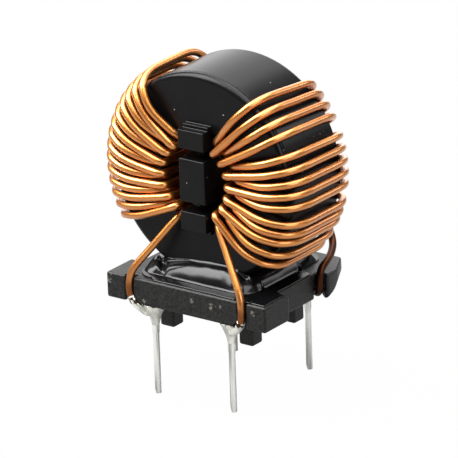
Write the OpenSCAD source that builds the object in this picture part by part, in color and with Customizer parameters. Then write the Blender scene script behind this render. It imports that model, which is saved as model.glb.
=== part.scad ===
// Common mode filter: two windings on a cased ring core that stands on a four-pin base.
// Millimetres. The origin is the middle of the pin pattern, on the board's surface.
// +Z is up, the ring's axis lies along Y, and -Y is the front.

/* [Ring core] */
// Outer diameter of the ferrite ring
core_od = 26; // [24:0.5:28]
// Bore of the ferrite ring
core_id = 15.2; // [14.8:0.2:16]
// Length of the ring along its axis
core_h = 9.4; // [8:0.2:11]
// Play between the ring and its case
core_gap = 0.3; // [0.1:0.05:0.5]

/* [Core case] */
// Wall of the moulded case
case_wall = 1.05; // [0.8:0.05:1.3]
// Rounding of the case's outer edges
edge_r = 0.8; // [0.4:0.1:1]
// Chamfer that shows as a groove where lid and cup meet
seam = 0.06; // [0.03:0.01:0.2]

/* [Divider] */
// Width of the divider and of the stops above and below it
divider_w = 4.1; // [3.4:0.1:4.4]
// Half the height of the divider's block
block_z = 3; // [2.4:0.1:3.3]
// Distance from the ring's centre to the near face of a stop
stop_z = 4.4; // [4.2:0.1:4.8]
// Height of a stop
stop_h = 2.6; // [2:0.1:3.2]
// How far the stops and the block stand out of the case
stand_out = 1.9; // [1:0.1:2.4]
// Height of the ledge behind the far edge of a stop
ledge_h = 0.5; // [0.2:0.1:0.8]
// How far the ledge stands out of the case
ledge_out = 0.8; // [0.4:0.1:1]
// Thickness of the divider's web
web_t = 1.2; // [0.8:0.1:1.6]
// How deep the web reaches into the grooves of the stops
web_bite = 0.8; // [0.5:0.1:1]
// Play of the web in its grooves
slide_gap = 0.05; // [0.02:0.01:0.1]

/* [Windings] */
// Diameter of the enamelled wire
wire_d = 1; // [0.8:0.05:1.05]
// Turns of each winding
turns = 14; // [10:1:14]
// Room between the wire and what it lies on
wire_gap = 0.03; // [0.02:0.01:0.06]
// Bend of the wire round the bore's edge
bend = 1.3; // [0.9:0.1:1.4]
// Bend of the wire round the rim's edge
rim_bend = 4.6; // [2:0.1:4.6]
// How far the stiff wire stands off the rim
bulge = 0.95; // [0.9:0.05:1.1]
// How far the stiff wire stands off the faces
face_bulge = 1.3; // [1.2:0.05:1.5]
// Angle by which the lowest turn on the left sags between the bore and the rim
left_sag_low = -4; // [-8:0.5:2]
// Angle by which the highest turn on the left sags between the bore and the rim
left_sag_high = 6; // [0:0.5:8]
// Angle by which each turn on the right sags between the bore and the rim
right_sag = 2; // [0:0.5:5]
// Angle from the top to the lowest turn of the left winding, at the rim
left_low = 119; // [112:1:126]
// Angle from the top to the highest turn of the left winding, at the rim
left_high = 36; // [30:1:45]
// Angle from the top to the lowest turn of the right winding, at the rim
right_low = 132; // [122:1:134]
// Angle from the top to the highest turn of the right winding, at the rim
right_high = 37; // [32:1:45]
// Empty angle between the groups of turns on the right
group_gap = 4; // [0:0.5:5]
// Angle by which the highest turn on the left is lower at the back
left_lean = -3; // [-5:0.5:5]
// Angle by which the highest turn on the right is lower at the back
right_lean = 5; // [-5:0.5:6]

/* [Base] */
// Width of the base
base_w = 26; // [25:0.5:30]
// Depth of the base
base_d = 20.8; // [20.2:0.2:24]
// Thickness of the base
base_h = 3.6; // [3:0.1:5]
// Depth of the recess in each side
recess = 1.55; // [1.4:0.05:2]
// Front end of the side recess, from the middle
recess_front = 4.8; // [3:0.1:6]
// Back end of the side recess, from the middle
recess_back = 4.05; // [3.6:0.05:4.6]
// Chamfer of the back corners, along X
corner_x = 2.2; // [1:0.1:3]
// Chamfer of the back corners, along Y
corner_y = 4.2; // [2:0.1:5]
// Rounding under the back corners
under_cut = 2.2; // [1:0.1:2.4]
// Distance of the front wire slots from the middle
slot_x = 9.2; // [8.6:0.1:10]
// Width of a wire slot
slot_w = 1.35; // [1.2:0.05:1.6]
// Depth of a wire slot
slot_d = 1.5; // [1.3:0.1:2]
// Rounding beside a slot where the wire turns to its pin
relief_r = 1.6; // [1:0.1:1.8]
// Depth of the groove under the base for the back wires
groove_h = 1.6; // [1.4:0.1:2]
// Height of the feet, which is the room under the base
foot_h = 4.5; // [4.2:0.1:6]
// Side of a square foot
foot_w = 2.3; // [1.8:0.1:2.6]
// Distance of the feet from the middle along X
foot_x = 6.5; // [5.5:0.1:7]
// Distance of the feet from the middle along Y
foot_y = 4.8; // [4:0.1:5]

/* [Pins and solder] */
// Pin pitch across the base
pitch_x = 12.5; // [12:0.5:13]
// Pin pitch from front to back
pitch_y = 17.5; // [17:0.5:18]
// Diameter of a pin below the board's surface
pin_d = 0.9; // [0.6:0.05:0.95]
// Diameter of a pin's root, in the base and in the solder
root_d = 1.05; // [1:0.05:1.1]
// Length of a pin below the board's surface
pin_out = 8.5; // [3:0.5:10]
// Length of a pin inside the base
pin_in = 2.4; // [1.5:0.1:2.8]
// Play of a pin in its hole and of the solder round its pieces
bond_gap = 0.02; // [0.01:0.01:0.04]
// Height above the board's surface to which the thin end of a pin reaches
shoulder_z = 0.3; // [0.1:0.1:0.5]
// Height of the sheared half of a pin's tip
tip_cut = 0.5; // [0.2:0.1:1]
// Largest radius of a solder joint
solder_r = 1.65; // [1.4:0.05:1.7]
// Height of a solder joint
solder_h = 2.8; // [2:0.1:3.6]
// How far the flank of a solder joint is hollowed
solder_sag = 0.15; // [0.05:0.01:0.3]
// Solder on the pin's side where the joint runs out
solder_skin = 0.1; // [0.05:0.01:0.2]

/* [Adhesive] */
// Half the width of the bead, along X
bead_x = 9.2; // [8:0.1:9.4]
// Half the depth of the bead, along Y
bead_y = 9.3; // [8:0.1:9.6]
// Height of the pool on the base
bead_h = 0.6; // [0.4:0.1:1.2]
// Height to which the bead climbs the case
bead_climb = 3; // [1.8:0.1:3.2]
// Corner cut of the pool
bead_corner = 2.4; // [2.2:0.1:3]

/* [Hidden] */
$fn = 64;
eps = 0.01;

case_or = core_od / 2 + core_gap + case_wall;
case_ir = core_id / 2 - core_gap - case_wall;
case_half = core_h / 2 + core_gap + case_wall;
base_top = foot_h + base_h;
centre_z = base_top + bond_gap + case_or;
pin_x = pitch_x / 2;
pin_y = pitch_y / 2;
front = -base_d / 2;
side_x = base_w / 2;
recess_x = side_x - recess;
stop_far = stop_z + stop_h;
out_half = case_half + stand_out;

wire_r = wire_d / 2;
wire_sides = 8;
bend_steps = 3;
// Share by which a corner pulls its bend: 0.7 makes a square corner's bend nearly an arc.
corner_pull = 0.7;
// Largest share of the way that a bend takes up, towards the middle of a face and elsewhere
face_share = 0.8;
way_share = 0.45;
inner_r = case_ir - wire_gap - wire_r;
outer_r = case_or + wire_gap + wire_r + bulge;
face_y = case_half + wire_gap + wire_r;
rim_y = face_y + face_bulge;
sag_r = (inner_r + outer_r) / 2;
sag_y = rim_y - wire_r / 2;

// The passes through the bore lie side by side between the stops, every other one raised.
first_angle = asin((divider_w / 2 + wire_r + 4 * wire_gap) / inner_r);
bore_pitch = (180 - 2 * first_angle) / turns;
bore_step = 2 * inner_r * sin(bore_pitch / 2);
bore_rise = sqrt(max(0, pow(wire_d + 2 * wire_gap, 2) - bore_step * bore_step));
face_rise = wire_d + 2 * wire_gap;

// The end of a winding comes back down over the turns on the back.
return_r = (case_or + case_ir) / 2;
return_y = rim_y + face_rise / 2 + wire_d + 2 * wire_gap;
return_low = 130;
return_high = 0.8 * first_angle;
return_steps = 6;

// Where the wires turn below the base and end beside their pins
lead_drop = 0.3;
lead_gap = 0.12;
wire_side = (root_d / 2 + wire_r + 2 * bond_gap + eps) / sqrt(2);
wire_low = foot_h - wire_r - lead_drop;
front_low = wire_low - wire_r;
slot_y = front;
slot_in = slot_x - slot_w / 2;
side_wire_x = recess_x + wire_r + lead_gap;
side_wire_y = recess_back - wire_r - lead_gap;
groove_z = foot_h + groove_h / 2;
groove_w = wire_d + 4 * lead_gap;
// Length of the straight end of a back lead
dip = 1.9;
// How far behind the side recess and above the base a back lead leans over to the case
lean_back = 2 * wire_d;
lean_up = 1.6 * wire_d;
// Angle from the top at which a back lead reaches the case
lead_angle = 139;

// First turns of the upper groups on the right winding
group_starts = [1, 2, 5, 10];
// How the turns spread out at the rim: 1 is even, and more leaves them closer below
left_spread = 1;
right_spread = 1.2;

// A rounded edge, as the sliver to take off a square corner at the origin
module edge_sliver(r) {
  difference() {
    square(r);
    translate([r, r]) circle(r);
  }
}

module chamfer_sliver(c) {
  polygon([[0, 0], [c, 0], [0, c]]);
}

// Turns a profile of radius and length round the ring's axis, with the length towards the front
module ring() {
  translate([0, 0, centre_z]) rotate([90, 0, 0]) rotate_extrude($fn = 128) children();
}

// A block between two Y values, centred on X, from z0 to z1 above the ring's centre
module bar(w, y0, y1, z0, z1) {
  translate([-w / 2, y0, centre_z + z0]) cube([w, y1 - y0, z1 - z0]);
}

// Copies a shape that is made above the ring's centre to below it as well
module above_and_below() {
  children();
  translate([0, 0, 2 * centre_z]) mirror([0, 0, 1]) children();
}

module web_grooves(y0, y1) {
  above_and_below()
    bar(web_t + 2 * slide_gap, y0, y1, stop_z - eps, stop_z + web_bite + slide_gap);
}

module core_case_lid() {
  color("#26272a") difference() {
    union() {
      ring() difference() {
        translate([case_ir, case_half - case_wall]) square([case_or - case_ir, case_wall]);
        translate([case_or, case_half]) rotate(180) edge_sliver(min(edge_r, case_wall - seam));
        translate([case_ir, case_half]) rotate(270) edge_sliver(min(edge_r, case_wall - seam));
        translate([case_or, case_half - case_wall]) rotate(90) chamfer_sliver(seam);
      }
      above_and_below() bar(divider_w, -out_half, -case_half + eps, stop_z, stop_far);
      above_and_below()
        bar(divider_w, -case_half - ledge_out, -case_half + eps, stop_far - eps, stop_far + ledge_h);
      above_and_below() bar(divider_w, -out_half, -case_half + case_wall, stop_z, case_ir + eps);
    }
    web_grooves(-case_half + case_wall / 2, 0);
  }
}

module core_case_cup() {
  color("#1f2022") difference() {
    union() {
      ring() difference() {
        translate([case_ir, -case_half]) square([case_or - case_ir, 2 * case_half - case_wall]);
        translate([case_ir + case_wall, case_wall - case_half])
          square([case_or - case_ir - 2 * case_wall, 2 * case_half]);
        translate([case_or, -case_half]) rotate(90) edge_sliver(edge_r);
        translate([case_ir, -case_half]) edge_sliver(edge_r);
        translate([case_or, case_half - case_wall]) rotate(180) chamfer_sliver(seam);
      }
      above_and_below() bar(divider_w, case_half - eps, out_half, stop_z, stop_far);
      above_and_below()
        bar(divider_w, case_half - eps, case_half + ledge_out, stop_far - eps, stop_far + ledge_h);
      above_and_below() bar(divider_w, case_wall - case_half, out_half, stop_z, case_ir + eps);
    }
    web_grooves(-case_half, out_half + eps);
  }
}

module ferrite_core() {
  color("#4a4a4c") ring()
    translate([core_id / 2, -core_h / 2]) square([(core_od - core_id) / 2, core_h]);
}

module divider() {
  color("#2b2c2f") {
    bar(divider_w, -out_half, out_half, -block_z, block_z);
    web_z = stop_z + web_bite;
    bar(web_t, case_wall / 2 + slide_gap - case_half, out_half, -web_z, web_z);
  }
}

// Right half of the base's outline, from the front edge to the back edge
base_edge = [
  [side_x, front],
  [side_x, -recess_front],
  [recess_x, -recess_front],
  [recess_x, recess_back],
  [side_x, recess_back],
  [side_x, -front - corner_y],
  [side_x - corner_x, -front]
];

module both_sides() {
  children();
  mirror([1, 0, 0]) children();
}

module four_places(x, y) {
  for (sx = [-1, 1], sy = [-1, 1]) translate([sx * x, sy * y, 0]) children();
}

// The wall's lower corner beside a slot is rounded, so that the wire can turn to its pin.
module slot_relief() {
  translate([slot_in - relief_r, front - eps, foot_h - eps]) difference() {
    cube([relief_r + eps, 2 * slot_d, relief_r]);
    translate([0, -eps, relief_r]) rotate([-90, 0, 0]) cylinder(r = relief_r, h = 2 * slot_d + 2 * eps);
  }
}

// Runs from the side recess to beside the back pin.
module wire_groove() {
  run = [side_wire_x - pin_x - wire_side, pin_y - wire_side - side_wire_y];
  translate([side_wire_x, side_wire_y, foot_h - eps]) rotate(atan2(run.y, -run.x))
    translate([-groove_w, -groove_w / 2, 0]) cube([norm(run) + groove_w, groove_w, groove_h]);
}

// Rounds the lower edge of a chamfered back corner.
module corner_under_cut() {
  slope = atan2(corner_y, corner_x);
  translate([side_x, -front - corner_y, foot_h]) rotate(180 - slope)
    rotate([90, 0, 90]) translate([0, 0, -base_w / 4]) linear_extrude(base_w) difference() {
      translate([-eps, -eps]) square(under_cut + eps);
      translate([under_cut, under_cut]) circle(under_cut);
    }
}

module base() {
  color("#232426") {
    difference() {
      translate([0, 0, foot_h]) linear_extrude(base_h)
        both_sides() polygon(concat([[-eps, front]], base_edge, [[-eps, -front]]));
      both_sides() {
        translate([slot_in, front - eps, foot_h - eps]) cube([slot_w, slot_d + eps, base_h + 2 * eps]);
        slot_relief();
        wire_groove();
        corner_under_cut();
      }
      four_places(pin_x, pin_y)
        translate([0, 0, foot_h - eps]) cylinder(d = root_d + 2 * bond_gap, h = pin_in + bond_gap + eps);
    }
    four_places(foot_x, foot_y)
      translate([-foot_w / 2, -foot_w / 2, 0]) cube([foot_w, foot_w, foot_h + eps]);
  }
}

// A drawn pin with a thicker root, sheared on a slope over half its tip
module pin(sx, sy) {
  cone_h = root_d - pin_d;
  color("#c9cbc8") translate([sx * pin_x, sy * pin_y, 0]) difference() {
    union() {
      translate([0, 0, -pin_out]) cylinder(d = pin_d, h = pin_out + shoulder_z);
      translate([0, 0, shoulder_z]) cylinder(d1 = pin_d, d2 = root_d, h = cone_h);
      translate([0, 0, shoulder_z + cone_h])
        cylinder(d = root_d, h = foot_h + pin_in - shoulder_z - cone_h);
    }
    translate([0, 0, -pin_out]) rotate([90, 0, 0]) translate([0, 0, -pin_d])
      linear_extrude(2 * pin_d) polygon([[0, 0], [-pin_d, -pin_d], [-pin_d, 2 * tip_cut]]);
  }
}

module pin_front_left() { pin(-1, -1); }
module pin_front_right() { pin(1, -1); }
module pin_back_left() { pin(-1, 1); }
module pin_back_right() { pin(1, 1); }

function unit(v) = v / norm(v);
function on_ring(r, angle, y) = [r * sin(angle), y, centre_z + r * cos(angle)];
function bore_angle(i) = 180 - first_angle - i * bore_pitch;

// Angle of turn k at the rim: the turns spread out towards the top and leave gaps between groups.
function gaps_below(k, starts) = len([for (s = starts) if (k >= s) s]);
function rim_angle(k, low, high, spread, starts) =
  low - (low - high - group_gap * len(starts)) * pow(k / (turns - 1), spread)
  - group_gap * gaps_below(k, starts);

// The two ends of pass i through the bore, front first
function bore_pass(i) =
  let (r = inner_r - (i % 2) * bore_rise, y = face_y + (i % 2) * face_rise)
  [on_ring(r, bore_angle(i), -y), on_ring(r, bore_angle(i), y)];

// The middle of the way over a face, between pass i and the rim
function sagging(i, rim, sag, y) = on_ring(sag_r, (bore_angle(i) + rim) / 2 + sag, y);

// One turn on the right: through the bore, out over the back, across the rim and in over the front
function turn(k, low, high, spread, starts, lean, sags) =
  let (rim = rim_angle(k, low, high, spread, starts))
  let (back = rim + lean * pow(k / (turns - 1), 3))
  let (sag = sags[0] + (sags[1] - sags[0]) * k / (turns - 1))
  concat(bore_pass(k), [
    sagging(k, back, max(sag, 0), sag_y),
    on_ring(outer_r, back, rim_y),
    on_ring(outer_r, rim, -rim_y),
    sagging(k + 1, rim, sag, -sag_y)
  ]);

// Front lead: from beside the front pin, under the wall and up the slot
function front_lead() = [
  [pin_x + wire_side, -pin_y - wire_side, front_low],
  [slot_x, slot_y, foot_h + lead_drop],
  [slot_x, slot_y, base_top + wire_r]
];

// Back lead: down over the turns, then into the side recess and through the groove to the back pin
function back_lead() =
  let (tip = [pin_x + wire_side, pin_y - wire_side, wire_low])
  let (low_corner = [side_wire_x, side_wire_y, groove_z])
  concat(
    [for (i = [0 : return_steps])
      on_ring(return_r, return_high + (return_low - return_high) * i / return_steps, return_y)],
    [
      on_ring(outer_r, lead_angle, return_y),
      [side_wire_x, recess_back + lean_back, base_top + lean_up],
      [side_wire_x, side_wire_y, base_top + lean_up / 2],
      low_corner,
      tip + dip * unit(low_corner - tip),
      tip
    ]
  );

function wire_route(low, high, spread, starts, lean, sags) = concat(
  front_lead(),
  [for (k = [0 : turns - 1]) each turn(k, low, high, spread, starts, lean, sags)],
  bore_pass(turns),
  back_lead()
);

// Rounds each corner of a route with a conic that starts up to one bend before it.
function is_sagging(p) = abs(abs(p.y) - sag_y) < eps;
function bend_at(p) = abs(abs(p.y) - rim_y) < eps ? rim_bend : bend;
function share_to(q) = is_sagging(q) ? face_share : way_share;
function towards(p, q) = p + unit(q - p) * min(bend_at(p), share_to(q) * norm(q - p));
function corner(before, here, after) =
  let (from = towards(here, before), to = towards(here, after))
  [for (s = [0 : bend_steps])
    let (t = s / bend_steps, pull = 2 * corner_pull * t * (1 - t))
    ((1 - t) * (1 - t) * from + pull * here + t * t * to) / ((1 - t) * (1 - t) + pull + t * t)];
function rounded(p) = concat(
  [p[0]],
  [for (i = [1 : len(p) - 2])
    each is_sagging(p[i]) ? [p[i]] : corner(p[i - 1], p[i], p[i + 1])],
  [p[len(p) - 1]]
);

// A round wire along a line of points, with a frame that is carried on from ring to ring
module wire(p) {
  n = len(p);
  dirs = [for (i = [0 : n - 1]) unit(p[min(i + 1, n - 1)] - p[max(i - 1, 0)])];
  start = unit(cross(dirs[0], [0, 0, 1]));
  ups = [for (i = 0, u = start; i < n;
    i = i + 1, u = i < n ? unit(u - (u * dirs[i]) * dirs[i]) : u) u];
  points = [for (i = [0 : n - 1], j = [0 : wire_sides - 1])
    let (a = 360 * j / wire_sides)
    p[i] + wire_r * (cos(a) * ups[i] + sin(a) * cross(dirs[i], ups[i]))];
  skin = [for (i = [0 : n - 2], j = [0 : wire_sides - 1])
    let (a = i * wire_sides + j, b = i * wire_sides + (j + 1) % wire_sides)
    each [[a, b + wire_sides, b], [a, a + wire_sides, b + wire_sides]]];
  ends = [
    [for (j = [0 : wire_sides - 1]) j],
    [for (j = [wire_sides - 1 : -1 : 0]) (n - 1) * wire_sides + j]
  ];
  polyhedron(points, concat(skin, ends));
}

module winding_right() {
  sags = [right_sag, right_sag];
  route = wire_route(right_low, right_high, right_spread, group_starts, right_lean, sags);
  color("#c9752c") wire(rounded(route));
}

module winding_left() {
  sags = [left_sag_low, left_sag_high];
  route = wire_route(left_low, left_high, left_spread, [], left_lean, sags);
  color("#c9752c") wire([for (q = rounded(route)) [-q.x, q.y, q.z]]);
}

// A solder joint: a hollow-sided cone under the base, with room for the pin and the wire's end
module solder(sx, lead) {
  foot = root_d / 2 + solder_skin;
  flank = [solder_r - foot, solder_h];
  hollow = (flank * flank / 4 + solder_sag * solder_sag) / (2 * solder_sag);
  centre = [foot, 0] + flank / 2 + (hollow - solder_sag) * unit([flank.y, -flank.x]);
  tip = lead[0];
  way = lead[1] - tip;
  color("#d4d6d2") difference() {
    translate([sx * pin_x, sign(tip.y) * pin_y, foot_h - bond_gap - solder_h]) difference() {
      rotate_extrude() difference() {
        square([solder_r, solder_h]);
        translate(centre) circle(hollow, $fn = 256);
      }
      translate([0, 0, -eps]) cylinder(d = root_d + 2 * bond_gap, h = solder_h + 2 * eps);
    }
    translate([sx * tip.x, tip.y, tip.z])
      rotate([0, acos(way.z / norm(way)), atan2(way.y, sx * way.x)])
        translate([0, 0, -bond_gap]) cylinder(r = wire_r + bond_gap, h = norm(way));
  }
}

function front_end() = [front_lead()[0], front_lead()[1]];
function back_end() =
  let (lead = back_lead())
  [lead[len(lead) - 1], lead[len(lead) - 2]];

module solder_front_left() { solder(-1, front_end()); }
module solder_front_right() { solder(1, front_end()); }
module solder_back_left() { solder(-1, back_end()); }
module solder_back_right() { solder(1, back_end()); }

// The bead: a pool on the base that climbs both faces of the case in a hollow curve
module adhesive_bead() {
  climb = bead_climb - bead_h;
  color("#0c0c0e") translate([0, 0, base_top]) difference() {
    union() {
      linear_extrude(bead_h) both_sides() polygon([
        [-eps, -bead_y],
        [bead_x - bead_corner, -bead_y],
        [bead_x, bead_corner - bead_y],
        [bead_x, bead_y - bead_corner],
        [bead_x - bead_corner, bead_y],
        [-eps, bead_y]
      ]);
      translate([-bead_x + bead_corner, 0, bead_h - eps]) rotate([90, 0, 90])
        linear_extrude(2 * (bead_x - bead_corner)) both_sides() difference() {
          translate([-eps, 0]) square([case_half + climb, climb]);
          translate([case_half + climb, climb]) circle(climb);
        }
    }
    translate([0, 0, centre_z - base_top]) rotate([90, 0, 0])
      cylinder(r = case_or + bond_gap, h = 2 * (case_half + bond_gap), center = true, $fn = 128);
  }
}

base();
pin_front_left();
pin_front_right();
pin_back_left();
pin_back_right();
ferrite_core();
core_case_cup();
core_case_lid();
divider();
winding_left();
winding_right();
solder_front_left();
solder_front_right();
solder_back_left();
solder_back_right();
adhesive_bead();
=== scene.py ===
import math

import bmesh
import bpy
from mathutils import Matrix, Vector, noise


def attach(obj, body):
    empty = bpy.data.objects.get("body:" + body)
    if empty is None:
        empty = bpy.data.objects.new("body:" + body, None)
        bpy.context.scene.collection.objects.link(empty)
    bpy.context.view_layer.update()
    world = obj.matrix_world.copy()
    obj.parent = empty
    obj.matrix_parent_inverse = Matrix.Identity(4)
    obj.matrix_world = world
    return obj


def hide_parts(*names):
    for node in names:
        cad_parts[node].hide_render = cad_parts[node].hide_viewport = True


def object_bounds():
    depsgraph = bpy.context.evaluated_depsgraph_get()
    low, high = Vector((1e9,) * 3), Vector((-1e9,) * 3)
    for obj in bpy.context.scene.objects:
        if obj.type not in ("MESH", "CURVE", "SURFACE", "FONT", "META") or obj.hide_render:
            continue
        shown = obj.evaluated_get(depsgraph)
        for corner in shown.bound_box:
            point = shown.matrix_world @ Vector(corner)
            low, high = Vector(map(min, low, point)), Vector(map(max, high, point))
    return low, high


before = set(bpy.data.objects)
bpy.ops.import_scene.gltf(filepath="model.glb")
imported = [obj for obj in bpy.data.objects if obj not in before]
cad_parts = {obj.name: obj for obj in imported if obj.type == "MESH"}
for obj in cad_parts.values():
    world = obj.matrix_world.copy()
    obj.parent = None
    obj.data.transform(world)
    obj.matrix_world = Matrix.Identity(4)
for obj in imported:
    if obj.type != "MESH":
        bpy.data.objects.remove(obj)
cadLow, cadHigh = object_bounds()
scene = bpy.context.scene
mm = 0.001
print("frame loaded", [round(v / mm, 2) for v in cadLow], [round(v / mm, 2) for v in cadHigh])


# small helpers

def boxOf(node):
    # the low and the high corner of a CAD node, in millimetres
    points = [v.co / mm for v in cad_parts[node].data.vertices]
    return [Vector([pick(p[i] for p in points) for i in range(3)]) for pick in (min, max)]


def smoothStep(low, high, value):
    t = min(max((value - low) / (high - low), 0.0), 1.0)
    return t * t * (3 - 2 * t)


def wander(x, y, z, scale):
    return noise.noise(Vector((x * scale, y * scale, z * scale)))


def titled(label):
    return label.title().replace("_", "")


def newPiece(name, mesh):
    piece = bpy.data.objects.new(name, mesh)
    scene.collection.objects.link(piece)
    return piece


def meshPiece(name, points, faces, edges=()):
    # points come in millimetres
    mesh = bpy.data.meshes.new(name)
    mesh.from_pydata([Vector(p) * mm for p in points], list(edges), faces)
    mesh.validate()
    return newPiece(name, mesh)


def bake(piece):
    # swaps the mesh for the result of its modifiers
    bpy.context.view_layer.update()
    graph = bpy.context.evaluated_depsgraph_get()
    shown = piece.evaluated_get(graph)
    result = bpy.data.meshes.new_from_object(shown, preserve_all_data_layers=True, depsgraph=graph)
    piece.modifiers.clear()
    old = piece.data
    piece.data = result
    bpy.data.meshes.remove(old)
    return piece


def outward(piece):
    work = bmesh.new()
    work.from_mesh(piece.data)
    bmesh.ops.recalc_face_normals(work, faces=work.faces)
    work.to_mesh(piece.data)
    work.free()
    return piece


# sizes that the pieces share, in millimetres and from the frame where it shows them

baseLow, baseHigh = boxOf("base")
lidLow, lidHigh = boxOf("core_case_lid")
pinLow, pinHigh = boxOf("pin_front_right")
beadHigh = boxOf("adhesive_bead")[1]
dividerHalf = boxOf("divider")[1].x
baseTop = baseHigh.z
bondGap = lidLow.z - baseTop
pinX = (pinLow.x + pinHigh.x) / 2
pinY = -(pinLow.y + pinHigh.y) / 2
case = {"outer": lidHigh.x, "inner": 6.25, "half": 6.05, "centre": (lidLow.z + lidHigh.z) / 2}
corners = {"front_left": (-1, -1), "front_right": (1, -1), "back_left": (-1, 1), "back_right": (1, 1)}


# shader groups

patterns = {
    "grainDetail": 4.0, "grainRoughness": 0.6, "cloudDetail": 3.0, "cloudRange": (0.3, 0.7),
    "streakDetail": 2.0, "streakStretch": (1.0, 1.0, 0.03), "streakRange": (0.42, 0.62),
    "crumbDetail": 2.0, "crumbScale": 3600.0, "crumbFade": 0.28, "crumbRange": (0.30, 0.42),
}


def feed(tree, item, socket):
    # a socket takes a link or a plain value
    if isinstance(item, bpy.types.NodeSocket):
        tree.links.new(item, socket)
    else:
        socket.default_value = item


def newNode(tree, kind, **inputs):
    node = tree.nodes.new("ShaderNode" + kind)
    for label, item in inputs.items():
        feed(tree, item, node.inputs[label])
    return node


def shaderGroup(name, inputs, output, kind="NodeSocketFloat"):
    tree = bpy.data.node_groups.new(name, "ShaderNodeTree")
    for label, value in inputs.items():
        socket = tree.interface.new_socket(label, in_out="INPUT", socket_type="NodeSocketFloat")
        socket.default_value = value
    tree.interface.new_socket(output, in_out="OUTPUT", socket_type=kind)
    start, end = tree.nodes.new("NodeGroupInput"), tree.nodes.new("NodeGroupOutput")
    return tree, start.outputs, end.inputs[output]


def math2(tree, operation, a, b):
    node = newNode(tree, "Math")
    node.operation = operation
    feed(tree, a, node.inputs[0])
    feed(tree, b, node.inputs[1])
    return node.outputs[0]


def rangeMap(tree, value, low, high, start=0.0, end=1.0):
    node = newNode(tree, "MapRange", Value=value)
    node.interpolation_type = "SMOOTHSTEP"
    for label, limit in (("From Min", low), ("From Max", high), ("To Min", start), ("To Max", end)):
        node.inputs[label].default_value = limit
    return node.outputs["Result"]


def mixColour(tree, factor, a, b):
    # for colours the node's sockets are number 0, 6 and 7, and its result is number 2
    node = newNode(tree, "Mix")
    node.data_type = "RGBA"
    feed(tree, factor, node.inputs[0])
    feed(tree, a, node.inputs[6])
    feed(tree, b, node.inputs[7])
    return node.outputs[2]


def objectPlace(tree):
    return newNode(tree, "TexCoord").outputs["Object"]


def grainGroup():
    # fine moulded or drawn grain as a bump
    defaults = {"Scale": 3000.0, "Depth": 0.00001}
    tree, start, out = shaderGroup("surfaceGrain", defaults, "Normal", "NodeSocketVector")
    field = newNode(tree, "TexNoise", Vector=objectPlace(tree), Scale=start["Scale"],
                    Detail=patterns["grainDetail"], Roughness=patterns["grainRoughness"])
    bump = newNode(tree, "Bump", Strength=1.0, Height=field.outputs["Fac"], Distance=start["Depth"])
    tree.links.new(bump.outputs["Normal"], out)
    return tree


def speckGroup():
    # sparse dust: a share of the cells holds one small speck
    tree, start, out = shaderGroup("dustSpecks", {"Scale": 700.0, "Size": 0.12, "Share": 0.05}, "Mask")
    cells = newNode(tree, "TexVoronoi", Vector=objectPlace(tree), Scale=start["Scale"])
    split = newNode(tree, "SeparateColor", Color=cells.outputs["Color"])
    near = math2(tree, "LESS_THAN", cells.outputs["Distance"], start["Size"])
    chosen = math2(tree, "LESS_THAN", split.outputs["Red"], start["Share"])
    strength = math2(tree, "MULTIPLY", split.outputs["Green"], math2(tree, "MULTIPLY", near, chosen))
    tree.links.new(strength, out)
    return tree


def cloudGroup():
    # slow change over the surface, between 0 and 1
    tree, start, out = shaderGroup("slowCloud", {"Scale": 200.0}, "Value")
    field = newNode(tree, "TexNoise", Vector=objectPlace(tree), Scale=start["Scale"],
                    Detail=patterns["cloudDetail"])
    tree.links.new(rangeMap(tree, field.outputs["Fac"], *patterns["cloudRange"]), out)
    return tree


def reflectionStreakGroup():
    # stripes drawn out along Z: painted reflection stripes on the pins and the solder
    tree, start, out = shaderGroup("paintedReflectionStreaks", {"Scale": 1500.0}, "Value")
    squash = newNode(tree, "VectorMath")
    squash.operation = "MULTIPLY"
    squash.inputs[1].default_value = patterns["streakStretch"]
    tree.links.new(objectPlace(tree), squash.inputs[0])
    field = newNode(tree, "TexNoise", Vector=squash.outputs["Vector"], Scale=start["Scale"],
                    Detail=patterns["streakDetail"])
    tree.links.new(rangeMap(tree, field.outputs["Fac"], *patterns["streakRange"]), out)
    return tree


def spotGroup():
    # a broken, crumbly patch round one place
    tree, start, out = shaderGroup("scuffSpot", {"X": 0.0, "Y": 0.0, "Z": 0.0, "Size": 0.001}, "Mask")
    here = objectPlace(tree)
    centre = newNode(tree, "CombineXYZ", X=start["X"], Y=start["Y"], Z=start["Z"])
    away = newNode(tree, "VectorMath")
    away.operation = "DISTANCE"
    tree.links.new(here, away.inputs[0])
    tree.links.new(centre.outputs["Vector"], away.inputs[1])
    field = newNode(tree, "TexNoise", Vector=here, Scale=patterns["crumbScale"],
                    Detail=patterns["crumbDetail"])
    share = math2(tree, "DIVIDE", away.outputs["Value"], start["Size"])
    fade = math2(tree, "MULTIPLY", share, patterns["crumbFade"])
    crumbs = math2(tree, "SUBTRACT", field.outputs["Fac"], fade)
    tree.links.new(rangeMap(tree, crumbs, *patterns["crumbRange"]), out)
    return tree


grain, specks, cloud, reflectionStreaks, spot = grainGroup(), speckGroup(), cloudGroup(), reflectionStreakGroup(), spotGroup()


def useGroup(tree, group, **values):
    node = newNode(tree, "Group")
    node.node_tree = group
    for label, value in values.items():
        node.inputs[label].default_value = value
    return node.outputs[0]


def newShader(name, values):
    material = bpy.data.materials.new(name)
    material.use_nodes = True
    bsdf = material.node_tree.nodes["Principled BSDF"]
    for label, value in values.items():
        bsdf.inputs[label].default_value = value
    return material, material.node_tree, bsdf


def addGrain(tree, bsdf, look):
    relief = useGroup(tree, grain, Scale=look["grainScale"], Depth=look["grainDepth"])
    tree.links.new(relief, bsdf.inputs["Normal"])


# materials; a scuff is x, z and size in millimetres on the front of the base

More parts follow.
